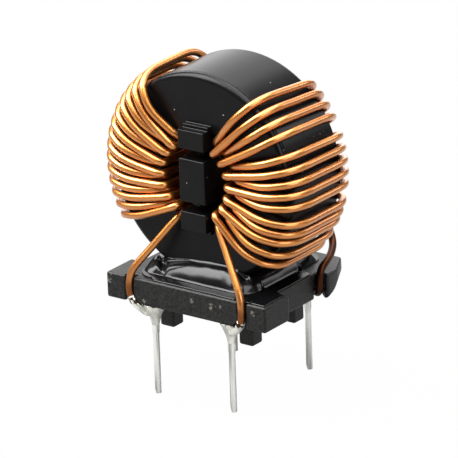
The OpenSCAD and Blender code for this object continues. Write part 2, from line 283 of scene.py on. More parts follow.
basePlastic = {
    "dark": (0.0008, 0.0008, 0.0008, 1), "pale": (0.0150, 0.0150, 0.0142, 1), "toneScale": 3400.0,
    "roughness": 0.44, "shine": 0.26, "grainScale": 3500.0, "grainDepth": 0.000024,
    "dust": (0.13, 0.12, 0.10, 1), "dustScale": 900.0, "dustSize": 0.11, "dustShare": 0.10,
    "scuffs": ((4.35, 6.7, 0.55), (5.8, 6.8, 0.40), (1.1, 6.8, 0.45), (-12.4, 7.0, 0.45),
               (10.9, 7.0, 0.40), (-6.8, 5.1, 0.40)),
}
casePlastic = {
    "dark": (0.0019, 0.0019, 0.0022, 1), "pale": (0.0032, 0.0032, 0.0036, 1), "toneScale": 260.0,
    "roughness": 0.28, "shine": 0.15, "grainScale": 5000.0, "grainDepth": 0.000006,
    "dust": (0.30, 0.29, 0.27, 1), "dustScale": 1000.0, "dustSize": 0.09, "dustShare": 0.20,
    "scuffs": (),
}


def plasticShader(name, look):
    values = {"Roughness": look["roughness"], "Specular IOR Level": look["shine"]}
    material, tree, bsdf = newShader(name, values)
    tone = mixColour(tree, useGroup(tree, cloud, Scale=look["toneScale"]), look["dark"], look["pale"])
    marks = useGroup(tree, specks, Scale=look["dustScale"], Size=look["dustSize"], Share=look["dustShare"])
    for x, z, size in look["scuffs"]:
        scuff = useGroup(tree, spot, X=x * mm, Y=baseLow.y * mm, Z=z * mm, Size=size * mm)
        marks = math2(tree, "MAXIMUM", marks, scuff)
    tree.links.new(mixColour(tree, marks, tone, look["dust"]), bsdf.inputs["Base Color"])
    addGrain(tree, bsdf, look)
    return material


epoxy = {
    "tone": (0.0025, 0.0025, 0.0028, 1), "roughness": 0.19, "shine": 0.26,
    "grainScale": 260.0, "grainDepth": 0.00002,
}


def epoxyShader():
    material, tree, bsdf = newShader("epoxy", {
        "Base Color": epoxy["tone"], "Roughness": epoxy["roughness"], "Specular IOR Level": epoxy["shine"],
    })
    addGrain(tree, bsdf, epoxy)
    return material


# the ends are metres along the wire where one state gives way to the next
enamel = {
    "copper": (0.65, 0.250, 0.046, 1), "deep": (0.55, 0.190, 0.031, 1), "toneScale": 160.0,
    "burnt": (0.23, 0.080, 0.026, 1), "scorchedAndShaded": (0.050, 0.017, 0.008, 1), "tin": (0.53, 0.53, 0.50, 1),
    "tinEnd": (0.0030, 0.0036), "burntEnd": (0.0044, 0.0072), "scorchedAndShadedEnd": (0.0165, 0.0200),
    "patchy": 0.0009, "patchScale": 900.0, "roughness": (0.50, 0.37),
    "coat": 0.85, "coatRoughness": 0.20, "coatIor": 1.6, "grainScale": 1600.0, "grainDepth": 0.000004,
}


def copperShader():
    # browned by the heat of soldering and tinned at the front ends; the back leads are painted darkest over
    # their last 17 to 20 mm, heat browning by the pins and painted shade further up
    material, tree, bsdf = newShader("enamelledCopper", {
        "Metallic": 1.0, "Coat Roughness": enamel["coatRoughness"], "Coat IOR": enamel["coatIor"],
    })
    patches = math2(tree, "MULTIPLY", useGroup(tree, cloud, Scale=enamel["patchScale"]), enamel["patchy"])
    along = {}
    for label in ("fromFront", "fromBack"):
        stored = newNode(tree, "Attribute")
        stored.attribute_name = label
        along[label] = math2(tree, "ADD", stored.outputs["Fac"], patches)
    shade = useGroup(tree, cloud, Scale=enamel["toneScale"])
    tone = mixColour(tree, shade, enamel["copper"], enamel["deep"])
    front = rangeMap(tree, along["fromFront"], *enamel["burntEnd"])
    back = rangeMap(tree, along["fromBack"], *enamel["scorchedAndShadedEnd"])
    tone = mixColour(tree, front, enamel["burnt"], tone)
    # painted shade: the back leads are darkened far past the heat-browned stretch by the pins
    tone = mixColour(tree, back, enamel["scorchedAndShaded"], tone)
    whole = math2(tree, "MULTIPLY", math2(tree, "MULTIPLY", front, back), enamel["coat"])
    bare = rangeMap(tree, along["fromFront"], *enamel["tinEnd"])
    tree.links.new(whole, bsdf.inputs["Coat Weight"])
    tree.links.new(mixColour(tree, bare, enamel["tin"], tone), bsdf.inputs["Base Color"])
    tree.links.new(rangeMap(tree, bare, 0.0, 1.0, *enamel["roughness"]), bsdf.inputs["Roughness"])
    addGrain(tree, bsdf, enamel)
    return material


pinTin = {
    # the dark streak colour is a painted reflection of dark surroundings, in stripes round the pin and the
    # solder
    "bright": (0.93, 0.93, 0.885, 1), "reflectionDark": (0.27, 0.27, 0.255, 1), "reflectionStreaks": 1700.0,
    "roughness": (0.28, 0.40), "grainScale": 1400.0, "grainDepth": 0.000010,
    "flux": (0.05, 0.03, 0.015, 1), "fluxFrom": (0.0060, 0.0066), "fluxScale": 1500.0,
    "fluxRange": (0.55, 0.75),
}
solderTin = {
    "bright": (0.86, 0.86, 0.795, 1), "reflectionDark": (0.58, 0.58, 0.535, 1), "reflectionStreaks": 900.0,
    "roughness": (0.36, 0.50), "grainScale": 1400.0, "grainDepth": 0.000018,
    "flux": (0.05, 0.028, 0.012, 1), "fluxFrom": (0.0040, 0.0044), "fluxScale": 1500.0,
    "fluxRange": (0.55, 0.75),
}


def tinShader(name, look):
    # bright tin with dark painted reflection streaks; flux leaves brown crumbs at the top
    material, tree, bsdf = newShader(name, {"Metallic": 1.0})
    # painted reflection: dark stripes along the tin
    shade = useGroup(tree, reflectionStreaks, Scale=look["reflectionStreaks"])
    tone = mixColour(tree, shade, look["bright"], look["reflectionDark"])
    apart = newNode(tree, "SeparateXYZ", Vector=objectPlace(tree))
    high = rangeMap(tree, apart.outputs["Z"], *look["fluxFrom"])
    broken = rangeMap(tree, useGroup(tree, cloud, Scale=look["fluxScale"]), *look["fluxRange"])
    crumbs = math2(tree, "MULTIPLY", high, broken)
    tree.links.new(mixColour(tree, crumbs, tone, look["flux"]), bsdf.inputs["Base Color"])
    tree.links.new(rangeMap(tree, shade, 0.0, 1.0, *look["roughness"]), bsdf.inputs["Roughness"])
    addGrain(tree, bsdf, look)
    return material


ferrite = {
    "dark": (0.035, 0.035, 0.038, 1), "pale": (0.07, 0.07, 0.072, 1), "toneScale": 800.0,
    "roughness": 0.6, "metallic": 0.2, "grainScale": 2500.0, "grainDepth": 0.00002,
}


def ferriteShader():
    values = {"Roughness": ferrite["roughness"], "Metallic": ferrite["metallic"]}
    material, tree, bsdf = newShader("ferrite", values)
    shade = useGroup(tree, cloud, Scale=ferrite["toneScale"])
    tone = mixColour(tree, shade, ferrite["dark"], ferrite["pale"])
    tree.links.new(tone, bsdf.inputs["Base Color"])
    addGrain(tree, bsdf, ferrite)
    return material


materials = {
    "moulded_base": plasticShader("mouldedBase", basePlastic),
    "case_plastic": plasticShader("casePlastic", casePlastic),
    "epoxy": epoxyShader(),
    "enamelled_copper": copperShader(),
    "tinned_pin": tinShader("tinnedPin", pinTin),
    "solder": tinShader("solder", solderTin),
    "ferrite": ferriteShader(),
}
print("materials made")


def place(piece, slotName, node):
    piece.data.materials.clear()
    piece.data.materials.append(materials[slotName])
    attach(piece, "root")
    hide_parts(node)


# moulded pieces: copies of the CAD nodes with softened edges

moulded = {
    "base": {"name": "mouldedBase", "slot": "moulded_base", "width": 0.30, "least": 0.75, "rest": 1.0},
    "core_case_lid": {"name": "caseLid", "slot": "case_plastic", "width": 0.45, "least": 0.45, "rest": 0.22},
    "core_case_cup": {"name": "caseCup", "slot": "case_plastic", "width": 0.45, "least": 0.45, "rest": 0.22},
    "divider": {"name": "dividerBar", "slot": "case_plastic", "width": 0.14, "least": 0.5, "rest": 1.0},
}
soften = {"merge": 0.002, "flat": 0.4, "sharp": 35.0, "segments": 3, "rimRadius": 14.0, "rimFace": 6.0}


def onCaseRim(p):
    away = math.hypot(p.x, p.z - case["centre"] * mm)
    return away > soften["rimRadius"] * mm and abs(p.y) > soften["rimFace"] * mm


def softCopy(node, look):
    # the outer rims of the case are rounded to the full width, other edges to a share of it
    work = bmesh.new()
    work.from_mesh(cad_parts[node].data)
    bmesh.ops.remove_doubles(work, verts=work.verts, dist=soften["merge"] * mm)
    flat = math.radians(soften["flat"])
    bmesh.ops.dissolve_limit(work, angle_limit=flat, verts=work.verts, edges=work.edges)
    bmesh.ops.recalc_face_normals(work, faces=work.faces)
    weight = work.edges.layers.float.new("bevel_weight_edge")
    for edge in work.edges:
        sharp = len(edge.link_faces) == 2 and edge.calc_face_angle() > math.radians(soften["sharp"])
        share = 1.0 if all(onCaseRim(v.co) for v in edge.verts) else look["rest"]
        edge[weight] = share if sharp and edge.calc_length() > look["least"] * mm else 0.0
        edge.smooth = not sharp
    mesh = bpy.data.meshes.new(look["name"])
    work.to_mesh(mesh)
    work.free()
    mesh.shade_smooth()
    piece = newPiece(look["name"], mesh)
    bevel = piece.modifiers.new("softEdges", "BEVEL")
    bevel.limit_method = "WEIGHT"
    bevel.width = look["width"] * mm
    bevel.segments = soften["segments"]
    bevel.use_clamp_overlap = False
    bevel.harden_normals = True
    normals = piece.modifiers.new("flatFaces", "WEIGHTED_NORMAL")
    normals.keep_sharp = True
    bake(piece)
    for vertex in piece.data.vertices:
        vertex.co.z = min(vertex.co.z, cadHigh.z)
    return piece


for node, look in moulded.items():
    place(softCopy(node, look), look["slot"], node)
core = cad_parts["ferrite_core"]
core.data.materials.clear()
core.data.materials.append(materials["ferrite"])
print("moulded pieces made")


# windings, worked out for the right side; the left one has its own angles and is mirrored
# lengths in millimetres, angles in degrees from the top; calmEnd is metres along the wire

wire = {
    "radius": 0.51, "solidRadius": 0.5, "gap": 0.03, "turns": 14, "bulge": 0.90, "faceBulge": 1.3,
    "bend": 1.3, "rimBend": 4.6, "bendShare": 0.45, "freeShare": 0.8, "cornerPull": 0.7, "bendSteps": 8,
    "sagRadius": 10.775, "sameY": 0.02, "groupGap": 4.0, "leanPower": 3,
    "jitter": 0.45, "jitterNoise": (0.5, 0.77),
    "returnLow": 130.0, "returnShare": 0.8, "returnSteps": 6, "leadAngle": 139.0,
    "spacing": 0.4, "relax": 4, "faceRelax": 20, "faceFrom": 7.6, "faceTo": 14.0, "sides": 16,
    "wander": 0.06, "wanderScale": 190.0, "wanderDetail": 1.0, "calmEnd": (0.006, 0.014),
}
# starts lists the turns that begin a new group
sides = {
    "right": {
        "mirror": 1, "low": 132.0, "high": 37.0, "spread": 1.2, "starts": (1, 2, 5, 10), "lean": 5.0,
        "lowSag": 2.0, "highSag": 2.0,
    },
    "left": {
        "mirror": -1, "low": 119.0, "high": 36.0, "spread": 1.0, "starts": (), "lean": -3.0,
        "lowSag": -4.0, "highSag": 6.0,
    },
}
# places that the leads pass between the ring and their pins
leads = {
    "beside": 1.075, "low": 3.7, "frontLow": 3.2, "dip": 1.9, "sideX": 12.07, "sideY": 3.43, "grooveZ": 5.3,
    "leanY": 6.05, "leanUp": 1.6, "slotX": 9.2, "slotY": -10.35, "slotLow": 4.8, "slotUp": 0.5,
}
wirePitch = 2 * (wire["solidRadius"] + wire["gap"])
ring = {
    "inner": case["inner"] - wirePitch / 2,
    "outer": case["outer"] + wirePitch / 2 + wire["bulge"],
    "middle": (case["inner"] + case["outer"]) / 2,
    "face": case["half"] + wirePitch / 2,
    "rim": case["half"] + wirePitch / 2 + wire["faceBulge"],
}
sagY = ring["rim"] - wire["solidRadius"] / 2
# the return run lies over the turns, and the first pass beside the divider
returnY = ring["rim"] + 1.5 * wirePitch
firstAngle = math.degrees(math.asin((dividerHalf + wire["solidRadius"] + 4 * wire["gap"]) / ring["inner"]))
borePitch = (180 - 2 * firstAngle) / wire["turns"]
boreStep = 2 * ring["inner"] * math.sin(math.radians(borePitch) / 2)
boreRise = math.sqrt(wirePitch ** 2 - boreStep ** 2)


def onRing(radius, angle, y):
    a = math.radians(angle)
    return Vector((radius * math.sin(a), y, case["centre"] + radius * math.cos(a)))


def boreAngle(i):
    return 180 - firstAngle - i * borePitch


def borePass(i):
    # every other pass through the bore is raised
    raised = i % 2
    radius, y = ring["inner"] - raised * boreRise, ring["face"] + raised * wirePitch
    return [onRing(radius, boreAngle(i), -y), onRing(radius, boreAngle(i), y)]


def sagging(i, rim, sag, y):
    return onRing(wire["sagRadius"], (boreAngle(i) + rim) / 2 + sag, y)


def rimAngle(k, side):
    gaps = wire["groupGap"] * len(side["starts"])
    below = wire["groupGap"] * sum(k >= s for s in side["starts"])
    share = (k / (wire["turns"] - 1)) ** side["spread"]
    even = side["low"] - (side["low"] - side["high"] - gaps) * share - below
    return even + wire["jitter"] * wander(k, side["low"], *wire["jitterNoise"])


def turnPoints(k, side):
    # in through the bore, over the back, round the rim and over the front
    share = k / (wire["turns"] - 1)
    rim = rimAngle(k, side)
    back = rim + side["lean"] * share ** wire["leanPower"]
    sag = side["lowSag"] + (side["highSag"] - side["lowSag"]) * share
    return borePass(k) + [
        sagging(k, back, max(sag, 0.0), sagY), onRing(ring["outer"], back, ring["rim"]),
        onRing(ring["outer"], rim, -ring["rim"]), sagging(k + 1, rim, sag, -sagY),
    ]


def wireRoute(side):
    beside = leads["beside"] / math.sqrt(2)
    points = [
        Vector((pinX + beside, -pinY - beside, leads["frontLow"])),
        Vector((leads["slotX"], leads["slotY"], leads["slotLow"])),
        Vector((leads["slotX"], leads["slotY"], baseTop + leads["slotUp"])),
    ]
    for k in range(wire["turns"]):
        points += turnPoints(k, side)
    points += borePass(wire["turns"])
    high = wire["returnShare"] * firstAngle
    for i in range(wire["returnSteps"] + 1):
        angle = high + (wire["returnLow"] - high) * i / wire["returnSteps"]
        points.append(onRing(ring["middle"], angle, returnY))
    end = Vector((pinX + beside, pinY - beside, leads["low"]))
    corner = Vector((leads["sideX"], leads["sideY"], leads["grooveZ"]))
    points += [
        onRing(ring["outer"], wire["leadAngle"], returnY),
        Vector((leads["sideX"], leads["leanY"], baseTop + leads["leanUp"])),
        Vector((leads["sideX"], leads["sideY"], baseTop + leads["leanUp"] / 2)),
        corner, end + (corner - end).normalized() * leads["dip"], end,
    ]
    return [Vector((p.x * side["mirror"], p.y, p.z)) for p in points]


def isFree(p):
    # no bend of its own: the middle of a face and the ends of a raised pass
    return abs(abs(p.y) - sagY) < wire["sameY"]


def towards(p, q):
    onRim = abs(abs(p.y) - ring["rim"]) < wire["sameY"]
    share = wire["freeShare"] if isFree(q) else wire["bendShare"]
    return p + (q - p).normalized() * min(wire["rimBend" if onRim else "bend"], share * (q - p).length)


def rounded(points):
    line = [points[0]]
    for before, here, after in zip(points, points[1:], points[2:]):
        if isFree(here):
            line.append(here)
            continue
        start, stop = towards(here, before), towards(here, after)
        for s in range(wire["bendSteps"] + 1):
            t = s / wire["bendSteps"]
            near, far, pull = (1 - t) ** 2, t * t, 2 * wire["cornerPull"] * t * (1 - t)
            line.append((near * start + pull * here + far * stop) / (near + pull + far))
    return relaxed(evenly(line + [points[-1]]))


def evenly(line):
    # the same line with points at even steps
    result, left = [line[0]], wire["spacing"]
    for a, b in zip(line, line[1:]):
        length = (b - a).length
        while length > left:
            a = a + (b - a) * (left / length)
            result.append(a)
            length, left = (b - a).length, wire["spacing"]
        left -= length
    return result + [line[-1]]


def onFace(p):
    away = math.hypot(p.x, p.z - case["centre"])
    return wire["faceFrom"] < away < wire["faceTo"] and abs(p.y) > ring["face"]


def relaxed(line):
    # evens out the bends, and the sag in the middle of a face most
    for turn in range(wire["relax"] + wire["faceRelax"]):
        everywhere = turn < wire["relax"]
        eased = [line[0]]
        for a, b, c in zip(line, line[1:], line[2:]):
            eased.append((a + 2 * b + c) / 4 if everywhere or onFace(b) else b)
        line = eased + [line[-1]]
    return line


def sweepTree():
    # sweeps a round wire along a line, lets it wander a little, and remembers how far the ends are
    tree = bpy.data.node_groups.new("sweptWire", "GeometryNodeTree")
    inputs = {
        "Line": "NodeSocketGeometry", "Wire Radius": "NodeSocketFloat", "Sides": "NodeSocketInt",
        "Wander": "NodeSocketFloat", "Enamel": "NodeSocketMaterial",
    }
    for label, kind in inputs.items():
        tree.interface.new_socket(label, in_out="INPUT", socket_type=kind)
    tree.interface.new_socket("Wire", in_out="OUTPUT", socket_type="NodeSocketGeometry")
    add, link = tree.nodes.new, tree.links.new
    start, end = add("NodeGroupInput"), add("NodeGroupOutput")

    # the distance from both ends stays on the wire for its material
    toCurve = add("GeometryNodeMeshToCurve")
    along, whole = add("GeometryNodeSplineParameter"), add("GeometryNodeSplineLength")
    toBack = math2(tree, "SUBTRACT", whole.outputs["Length"], along.outputs["Length"])
    link(start.outputs["Line"], toCurve.inputs["Mesh"])
    line = toCurve.outputs["Curve"]
    for label, value in (("fromFront", along.outputs["Length"]), ("fromBack", toBack)):
        store = add("GeometryNodeStoreNamedAttribute")
        store.data_type = "FLOAT"
        store.domain = "POINT"
        store.inputs["Name"].default_value = label
        link(line, store.inputs["Geometry"])
        link(value, store.inputs["Value"])
        line = store.outputs["Geometry"]

    # noise from -0.5 to 0.5, doubled, with both ends kept still
    field = newNode(tree, "TexNoise", Scale=wire["wanderScale"], Detail=wire["wanderDetail"])
    centred, sized = newNode(tree, "VectorMath"), newNode(tree, "VectorMath")
    centred.operation = "SUBTRACT"
    centred.inputs[1].default_value = (0.5, 0.5, 0.5)
    sized.operation = "SCALE"
    nearer = math2(tree, "MINIMUM", along.outputs["Length"], toBack)
    free = math2(tree, "MULTIPLY", rangeMap(tree, nearer, *wire["calmEnd"]), start.outputs["Wander"])
    move = add("GeometryNodeSetPosition")
    link(add("GeometryNodeInputPosition").outputs[0], field.inputs["Vector"])
    link(field.outputs["Color"], centred.inputs[0])
    link(centred.outputs["Vector"], sized.inputs[0])
    link(math2(tree, "MULTIPLY", free, 2.0), sized.inputs["Scale"])
    link(line, move.inputs["Geometry"])
    link(sized.outputs["Vector"], move.inputs["Offset"])

    circle, sweep = add("GeometryNodeCurvePrimitiveCircle"), add("GeometryNodeCurveToMesh")
    smooth, single = add("GeometryNodeSetShadeSmooth"), add("GeometryNodeRealizeInstances")
    paint = add("GeometryNodeSetMaterial")
    sweep.inputs["Fill Caps"].default_value = True
    link(start.outputs["Sides"], circle.inputs["Resolution"])
    link(start.outputs["Wire Radius"], circle.inputs["Radius"])
    link(move.outputs["Geometry"], sweep.inputs["Curve"])
    link(circle.outputs["Curve"], sweep.inputs["Profile Curve"])
    link(sweep.outputs["Mesh"], smooth.inputs["Geometry"])
    link(smooth.outputs["Geometry"], single.inputs["Geometry"])
    link(single.outputs["Geometry"], paint.inputs["Geometry"])
    link(start.outputs["Enamel"], paint.inputs["Material"])
    link(paint.outputs["Geometry"], end.inputs["Wire"])
    return tree


windTree = sweepTree()
windSockets = {item.name: item.identifier for item in windTree.interface.items_tree}
wireLines = {label: rounded(wireRoute(side)) for label, side in sides.items()}


def winding(name, line):
    piece = meshPiece(name, line, [], [(i, i + 1) for i in range(len(line) - 1)])
    sweep = piece.modifiers.new("sweep", "NODES")
    sweep.node_group = windTree
    sweep[windSockets["Wire Radius"]] = wire["radius"] * mm
    sweep[windSockets["Sides"]] = wire["sides"]
    sweep[windSockets["Wander"]] = wire["wander"] * mm
    sweep[windSockets["Enamel"]] = materials["enamelled_copper"]
    return outward(bake(piece))


for label, line in wireLines.items():
    place(winding("wound" + titled(label), line), "enamelled_copper", "winding_" + label)
print("windings made")


# pins: drawn wire with a thicker root and a sheared tip

pin = {
    "radius": 0.44, "root": 0.515, "growFrom": -0.3, "growTo": 0.7, "sides": 28, "steps": 60,
    "tipCut": 0.5, "unevenness": 0.012, "unevenScale": 1.3, "sharp": 40.0, "cutGap": 0.0001,
}


def pinWall(x, y):
    points, faces, count = [], [], pin["sides"]
    for i in range(pin["steps"] + 1):
        z = pinLow.z + (pinHigh.z - pinLow.z) * i / pin["steps"]
        share = smoothStep(pin["growFrom"], pin["growTo"], z)
        grown = pin["radius"] + (pin["root"] - pin["radius"]) * share
        for j in range(count):
            a = 2 * math.pi * j / count
            rough = 0.5 + 0.5 * wander(x + math.cos(a), y + math.sin(a), z, pin["unevenScale"])
            r = grown - pin["unevenness"] * rough
            points.append((x + r * math.cos(a), y + r * math.sin(a), z))
    for i in range(pin["steps"]):
        for j in range(count):
            a, b = i * count + j, i * count + (j + 1) % count
            faces.append((a, b, b + count, a + count))
    faces += [tuple(reversed(range(count))), tuple(range(len(points) - count, len(points)))]
    return points, faces


def pinPiece(name, x, y):
    piece = meshPiece(name, *pinWall(x, y))
    work = bmesh.new()
    work.from_mesh(piece.data)
    slope = Vector((2 * pin["tipCut"], 0, pin["radius"])).normalized()
    cut = bmesh.ops.bisect_plane(
        work, geom=work.verts[:] + work.edges[:] + work.faces[:], dist=pin["cutGap"] * mm, clear_inner=True,
        plane_co=Vector((x, y, pinLow.z)) * mm, plane_no=slope)
    rim = [e for e in cut["geom_cut"] if isinstance(e, bmesh.types.BMEdge)]
    bmesh.ops.edgeloop_fill(work, edges=rim)
    work.to_mesh(piece.data)
    work.free()
    piece.data.shade_smooth()
    piece.data.set_sharp_from_angle(angle=math.radians(pin["sharp"]))
    return outward(piece)


for label, (sx, sy) in corners.items():
    place(pinPiece("pin" + titled(label), sx * pinX, sy * pinY), "tinned_pin", "pin_" + label)
print("pins made")


# solder: a cone round each pin that runs into the end of the wire

solder = {
    "top": 4.46, "low": 1.3, "wide": 1.66, "thin": 0.53, "hollow": 1.5, "coneSides": 40, "coneSteps": 24,
    "wireSkin": 0.57, "wireRun": 3.2, "wireSides": 16, "slant": (0.2, 0.3, 1), "inPin": 0.6,
    "voxel": 0.085, "smooth": 6, "smoothFactor": 0.5, "lump": 0.03, "lumpScale": 0.9, "flatWithin": 1.6,
}


def circleAt(middle, across, along, radius, count):
    turns = [2 * math.pi * j / count for j in range(count)]
    return [middle + radius * (math.cos(a) * across + math.sin(a) * along) for a in turns]


def coneRings(x, y):
    alongX, alongY = Vector((1, 0, 0)), Vector((0, 1, 0))
    rings = []
    for i in range(solder["coneSteps"] + 1):
        t = i / solder["coneSteps"]
        z = solder["low"] + (solder["top"] - solder["low"]) * t
        r = solder["thin"] + (solder["wide"] - solder["thin"]) * t ** solder["hollow"]
        rings.append(circleAt(Vector((x, y, z)), alongX, alongY, r, solder["coneSides"]))
    return rings


def tubeRings(line):
    rings = []
    for i, here in enumerate(line):
        way = (line[min(i + 1, len(line) - 1)] - line[max(i - 1, 0)]).normalized()
        across = way.cross(Vector(solder["slant"])).normalized()
        rings.append(circleAt(here, across, way.cross(across), solder["wireSkin"], solder["wireSides"]))
    return rings


def skinInto(work, rings):
    loops = [[work.verts.new(p * mm) for p in points] for points in rings]
    count = len(loops[0])
    for low, high in zip(loops, loops[1:]):
        for j in range(count):
            work.faces.new((low[j], low[(j + 1) % count], high[(j + 1) % count], high[j]))
    work.faces.new(list(reversed(loops[0])))
    work.faces.new(loops[-1])


def wireEnd(line):
    # the first stretch of a wire, as far as the solder follows it
    run, stretch = 0.0, [line[0]]
    for a, b in zip(line, line[1:]):
        run += (b - a).length
        if run > solder["wireRun"]:
            break
        stretch.append(b)
    return stretch


def solderPiece(name, x, y):
    line = wireLines["right" if x > 0 else "left"]
    stretch = wireEnd(line if y < 0 else line[::-1])
    inPin = stretch[0].lerp(Vector((x, y, stretch[0].z)), solder["inPin"])
    work = bmesh.new()
    skinInto(work, coneRings(x, y))
    skinInto(work, tubeRings([inPin] + stretch))
    bmesh.ops.recalc_face_normals(work, faces=work.faces)
    mesh = bpy.data.meshes.new(name)
    work.to_mesh(mesh)
    work.free()
    piece = newPiece(name, mesh)
    blend = piece.modifiers.new("blend", "REMESH")
    blend.mode = "VOXEL"
    blend.voxel_size = solder["voxel"] * mm
    relax = piece.modifiers.new("relax", "SMOOTH")
    relax.iterations = solder["smooth"]
    relax.factor = solder["smoothFactor"]
    bake(piece)
    for vertex in piece.data.vertices:
        p = vertex.co / mm
        push = solder["lump"] * wander(p.x, p.y, p.z, solder["lumpScale"])
        vertex.co += vertex.normal * push * mm
        if math.hypot(p.x - x, p.y - y) < solder["flatWithin"]:
            vertex.co.z = min(vertex.co.z, solder["top"] * mm)
    piece.data.shade_smooth()
    return outward(piece)


for label, (sx, sy) in corners.items():
    place(solderPiece("solder" + titled(label), sx * pinX, sy * pinY), "solder", "solder_" + label)
print("solder made")


# adhesive: a pillow round the foot of the case, in a thin film that ran out over the front and the right

# a noise entry is its depth and its scale
bead = {
    "left": beadHigh.x, "halfY": beadHigh.y, "corner": 2.8,
    "right": 11.15, "backFrom": 3.7, "backBlend": 1.2, "block": 12.6, "blockFrom": -4.95, "blockBlend": 0.7,
    "frontRun": 0.80, "frontFrom": -6.6, "frontBlend": 1.3,
    "slot": (8.2, 10.2), "slotBlend": 0.3, "slotBack": 1.4, "edgeWander": 0.12, "edgeNoise": (9.0, 0.4),
    "edge": 0.09, "least": 0.008, "film": 0.09, "filmWave": 0.4, "filmNoise": (7.0, 0.5), "blend": 0.22,
    "footX": 7.3, "footY": case["half"], "cornerSoft": 0.02, "flank": 2.1, "reach": 1.9, "fall": 0.36,
    "lip": 0.34, "lipLeast": 0.01, "lipHeight": 0.62,
    "contact": ((-9.3, 1.4), (-6.6, 2.1), (-2.0, 2.9), (3.7, 3.2), (5.6, 2.9), (7.3, 2.1), (9.3, 1.4)),
    "creaseX": -6.7, "creaseLean": 0.708, "creaseWide": 0.5, "creaseDeep": 0.28,
    "wave": 0.05, "waveNoise": (3.0, 0.45),
    "ripple": 0.22, "rippleFrom": (-5.4, -7.0), "rippleNoise": (5.0, 0.9),
    "lipRows": 8, "slopeRows": 44, "footRows": 22, "footGap": 0.002, "halfColumns": 90,
    "underLift": 0.002, "topLift": 0.004,
}


def contactHeight(x):
    # the line where the adhesive meets the face of the case
    for (x0, h0), (x1, h1) in zip(bead["contact"], bead["contact"][1:]):
        if x <= x1:
            return h0 + (h1 - h0) * smoothStep(x0, x1, x)
    return bead["contact"][-1][1]


def pillowHeight(x, y):
    # a thin lip on the face of the case, then a round shoulder that falls to the film
    dx, dy = max(abs(x) - bead["footX"], 0.0), max(abs(y) - bead["footY"], 0.0)
    out = math.hypot(dx, dy)
    turned = smoothStep(0.0, 1.0, dy / (dx + dy + bead["cornerSoft"]))
    contact = bead["flank"] + (contactHeight(x) - bead["flank"]) * turned
    lipHeight, lip = bead["lipHeight"] * turned, bead["lip"] * turned + bead["lipLeast"]
    t = max(out - lip, 0.0) / bead["reach"]
    shoulder = (contact - lipHeight) * max(1 - bead["fall"] * t - (1 - bead["fall"]) * t ** 3, 0.0)
    return shoulder + lipHeight * max(1 - out / lip, 0.0) ** 2


def beadHeight(x, y, inside):
    pillow = pillowHeight(x, y)
    if y < 0:
        across = x - bead["creaseX"] + bead["creaseLean"] * (y + bead["footY"])
        pillow *= 1 - bead["creaseDeep"] * math.exp(-(across / bead["creaseWide"]) ** 2)
    pillow *= 1 + bead["wave"] * wander(x, y, *bead["waveNoise"])
    ripple = bead["ripple"] * smoothStep(*bead["rippleFrom"], x) * wander(x, y, *bead["rippleNoise"])
    pillow += ripple * min(pillow, 1.0)
    film = bead["film"] * (1 + bead["filmWave"] * wander(x, y, *bead["filmNoise"]))
    height = (pillow + film + math.hypot(pillow - film, bead["blend"])) / 2
    if abs(y) < bead["footY"]:
        height = min(height, case["outer"] - math.sqrt(case["outer"] ** 2 - x * x) + bondGap)
    edge = math.sqrt(max(1 - (1 - min(inside / bead["edge"], 1.0)) ** 2, 0.0))
    return max(edge * height, bead["least"])


def beadReach(x, y):
    # how far the film reaches to the left or the right at this depth
    past = max(abs(y) - (bead["halfY"] - bead["corner"]), 0.0)
    cut = bead["corner"] - math.sqrt(max(bead["corner"] ** 2 - past * past, 0.0))
    if x < 0:
        return bead["left"] - cut
    onBlock = smoothStep(bead["blockFrom"], bead["blockFrom"] - bead["blockBlend"], y)
    atBack = smoothStep(bead["backFrom"] - bead["backBlend"], bead["backFrom"], y)
    reach = bead["right"] + (bead["block"] - bead["right"]) * onBlock
    return reach + (bead["left"] - cut - reach) * atBack


def frontRun(x):
    # the film runs on to the front edge, but stays out of the slot
    low, high = bead["slot"]
    slot = smoothStep(low - bead["slotBlend"], low, x) * smoothStep(high + bead["slotBlend"], high, x)
    run = smoothStep(bead["frontFrom"], bead["frontFrom"] + bead["frontBlend"], x)
    return bead["frontRun"] * run - bead["slotBack"] * slot


def beadRows():
    # depths from front to back, closest at the lip
    footY, lip, count = bead["footY"], bead["lip"], bead["footRows"]
    slope = bead["halfY"] - footY - lip
    outer = [footY + lip * i / bead["lipRows"] for i in range(bead["lipRows"])]
    for i in range(bead["slopeRows"] + 1):
        outer.append(footY + lip + slope * math.sin(math.pi / 2 * i / bead["slopeRows"]))
    half = [footY * i / count for i in range(count)] + [footY - bead["footGap"]] + outer
    return [-v for v in reversed(half)] + half[1:]


def beadPoint(u, y):
    reach = beadReach(u, y)
    x = reach * u
    inside = min(reach - abs(x), bead["halfY"] - abs(y))
    share = max(abs(y) - bead["footY"], 0.0) / (bead["halfY"] - bead["footY"])
    back = bead["edgeWander"] * (1 + wander(x, 0.0, *bead["edgeNoise"]))
    run = share * ((frontRun(x) if y < 0 else 0.0) - back)
    moved = y + math.copysign(run, y)
    return x, moved, baseTop + bead["topLift"] + beadHeight(x, moved, inside)


